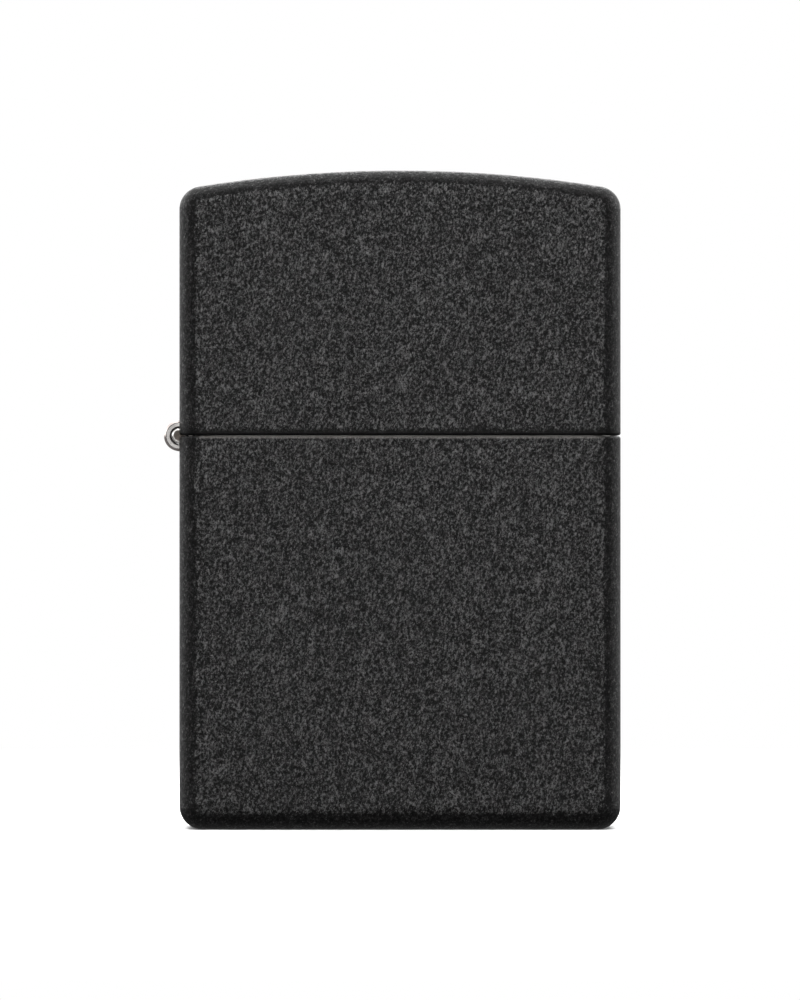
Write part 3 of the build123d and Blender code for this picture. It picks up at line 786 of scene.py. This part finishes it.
new_piece("wick_braid", braided_wick(), yarn, "wick", "root")

tooth_steel = finishes["hard_steel"]
wheel = striking_wheel()
new_piece("wheel_cut", wheel, tooth_steel, "striker_wheel", "striker")
wheel.set_sharp_from_angle(angle=math.radians(WHEEL_SHARP_DEGREES))

felt = soft_copy("felt_pad", FELT_VOXEL, FELT_LUMPS)
new_piece("felt_soft", felt, pressed_felt, "felt_pad", "root")
for pad in sorted(name for name in node if name.startswith("cotton_pad_")):
    block = soft_copy(pad, COTTON_VOXEL, COTTON_LUMPS)
    new_piece(pad.replace("cotton", "wadding"), block, wadding, pad, "root")


# ---------------------------------------------------------------- stage, light and camera


def pale_floor():
    """Pale to the camera, fading into the white backdrop.

    It is dim in reflections, apart from a glow straight under the case that lights its lower edge.
    """
    shader = Shader("pale_floor")
    pale = shader.add("BsdfDiffuse", {"Color": (0.86, 0.86, 0.86, 1.0)})
    white = shader.add("Emission", {"Color": WHITE, "Strength": 1.0})
    fading = shader.span(shader.length(shader.place), *FLOOR_FADE)
    faded = shader.add("MixShader", {0: fading, 1: pale.outputs[0], 2: white.outputs[0]})
    dim = shader.add("BsdfDiffuse", {"Color": (0.07, 0.07, 0.07, 1.0)})
    reach = shader.split(shader.unsigned(shader.place))
    under = [
        shader.span(reach[axis], cad_high[axis] / MM, cad_high[axis] / MM - GLOW_EDGE)
        for axis in (0, 1)
    ]
    strength = shader.maths("MULTIPLY", shader.maths("MULTIPLY", *under), UNDER_GLOW)
    glow = shader.add("Emission", {"Color": WHITE, "Strength": strength})
    dim = shader.add("AddShader", {0: dim.outputs[0], 1: glow.outputs[0]})
    bpy.ops.mesh.primitive_plane_add(size=6.0, location=(0, 0, cad_low.z))
    floor = bpy.context.object
    floor.name = "floor"
    floor.data.materials.append(shader.finished(shader.for_camera(dim, faded)))
    return floor


WHITE = (1.0, 1.0, 1.0, 1.0)
FLOOR_FADE = (70.0, 260.0)
UNDER_GLOW = 0.22
GLOW_EDGE = 1.0


def studio_world():
    """White to the camera. Reflections see bright panels in front, beside and behind the object.

    Between the front and each side is a dark gap, and it is dark below and high up in front.
    """
    world = bpy.data.worlds.new("studio")
    bpy.context.scene.world = world
    nodes = Nodes(world)
    towards = nodes.split(nodes.add("TexCoord").outputs["Generated"])
    across = nodes.maths("ABSOLUTE", towards[0])
    ahead = nodes.maths("MULTIPLY", towards[1], -1.0)
    turn = nodes.maths("DIVIDE", nodes.maths("ARCTAN2", across, ahead), math.pi)
    rise = nodes.maths("MULTIPLY_ADD", nodes.maths("ARCSINE", towards[2]), 1 / math.pi, 0.5)
    is_behind = nodes.ramp(turn, BEHIND_STOPS)
    height = nodes.mix(is_behind, nodes.ramp(rise, FRONT_STOPS), nodes.ramp(rise, BACK_STOPS))
    level = nodes.maths("MULTIPLY", nodes.ramp(turn, PANEL_STOPS), height)
    lit = nodes.add("Background", {0: level, 1: WORLD_LEVEL})
    white = nodes.add("Background", {0: WHITE, 1: 1.0})
    mixed = nodes.for_camera(lit, white)
    nodes.tree.links.new(mixed.outputs[0], nodes.add("OutputWorld").inputs[0])


# Places are shares of a half turn: from the front in the first two, from straight down in the rest.
BEHIND_STOPS = [(0.45, 0.0), (0.6, 1.0)]
PANEL_STOPS = [
    (0.0, 0.8),
    (0.09, 0.72),
    (0.17, 0.04),
    (0.31, 0.04),
    (0.4, 0.25),
    (0.47, 1.6),
    (0.6, 3.0),
    (0.72, 1.6),
    (1.0, 0.9),
]
FRONT_STOPS = [
    (0.0, 0.01),
    (0.4, 0.03),
    (0.5, 0.68),
    (0.62, 1.15),
    (0.7, 0.6),
    (0.78, 0.1),
    (0.88, 0.1),
    (1.0, 0.65),
]
BACK_STOPS = [
    (0.0, 0.01),
    (0.4, 0.03),
    (0.5, 0.7),
    (0.61, 1.0),
    (0.7, 0.7),
    (0.8, 1.1),
    (0.9, 1.6),
    (1.0, 1.5),
]
WORLD_LEVEL = 1.2


def softbox(name, place, width, height, power):
    """Area light that faces the middle of the lighter."""
    lamp = bpy.data.lights.new(name, "AREA")
    lamp.shape = "RECTANGLE"
    lamp.size = width
    lamp.size_y = height
    lamp.energy = power
    light = bpy.data.objects.new(name, lamp)
    bpy.context.scene.collection.objects.link(light)
    light.location = place
    aim = Vector((0, 0, closed_height / 2)) - light.location
    light.rotation_euler = aim.to_track_quat("-Z", "Y").to_euler()
    return light


def light_only(light, thing):
    """The light falls on this one object alone."""
    group = bpy.data.collections.new(light.name + "_receivers")
    group.objects.link(thing)
    light.light_linking.receiver_collection = group


def studio_lights(floor):
    """A raised softbox in front, a weaker one behind, and a light for the floor alone."""
    away = KEY_DISTANCE * math.cos(math.radians(KEY_RISE))
    height = closed_height / 2 + KEY_DISTANCE * math.sin(math.radians(KEY_RISE))
    softbox("key_front", (0, -away, height), KEY_WIDTH, KEY_HEIGHT, FRONT_POWER)
    softbox("key_back", (0, away, height), KEY_WIDTH, KEY_HEIGHT, BACK_POWER)
    above, side = (0, 0, FLOOR_LIGHT_HEIGHT), FLOOR_LIGHT_SIDE
    overhead = softbox("floor_light", above, side, side, FLOOR_POWER)
    light_only(overhead, floor)


# Degrees, metres and watts.
KEY_RISE = 24.0
KEY_DISTANCE = 0.32
KEY_WIDTH = 0.22
KEY_HEIGHT = 0.09
FRONT_POWER = 0.6
BACK_POWER = 0.2
FLOOR_LIGHT_HEIGHT = 1.5
FLOOR_LIGHT_SIDE = 2.0
FLOOR_POWER = 60.0


def photo_camera():
    """Long lens, level with the middle of the lighter, square to its front face."""
    lens_data = bpy.data.cameras.new("camera")
    camera = bpy.data.objects.new("camera", lens_data)
    bpy.context.scene.collection.objects.link(camera)
    camera.location = (0, cad_low.y - CAMERA_DISTANCE, closed_height / 2)
    camera.rotation_euler = (math.radians(90), 0, 0)
    lens_data.lens = lens_data.sensor_width * CAMERA_DISTANCE * PICTURE_SHARE / closed_height
    lens_data.clip_end = 20.0
    bpy.context.scene.camera = camera


# Metres, and the lighter's share of the picture's height.
CAMERA_DISTANCE = 0.8
PICTURE_SHARE = 0.6605

floor = pale_floor()
studio_world()
studio_lights(floor)
photo_camera()
bpy.context.scene.view_settings.view_transform = "Standard"
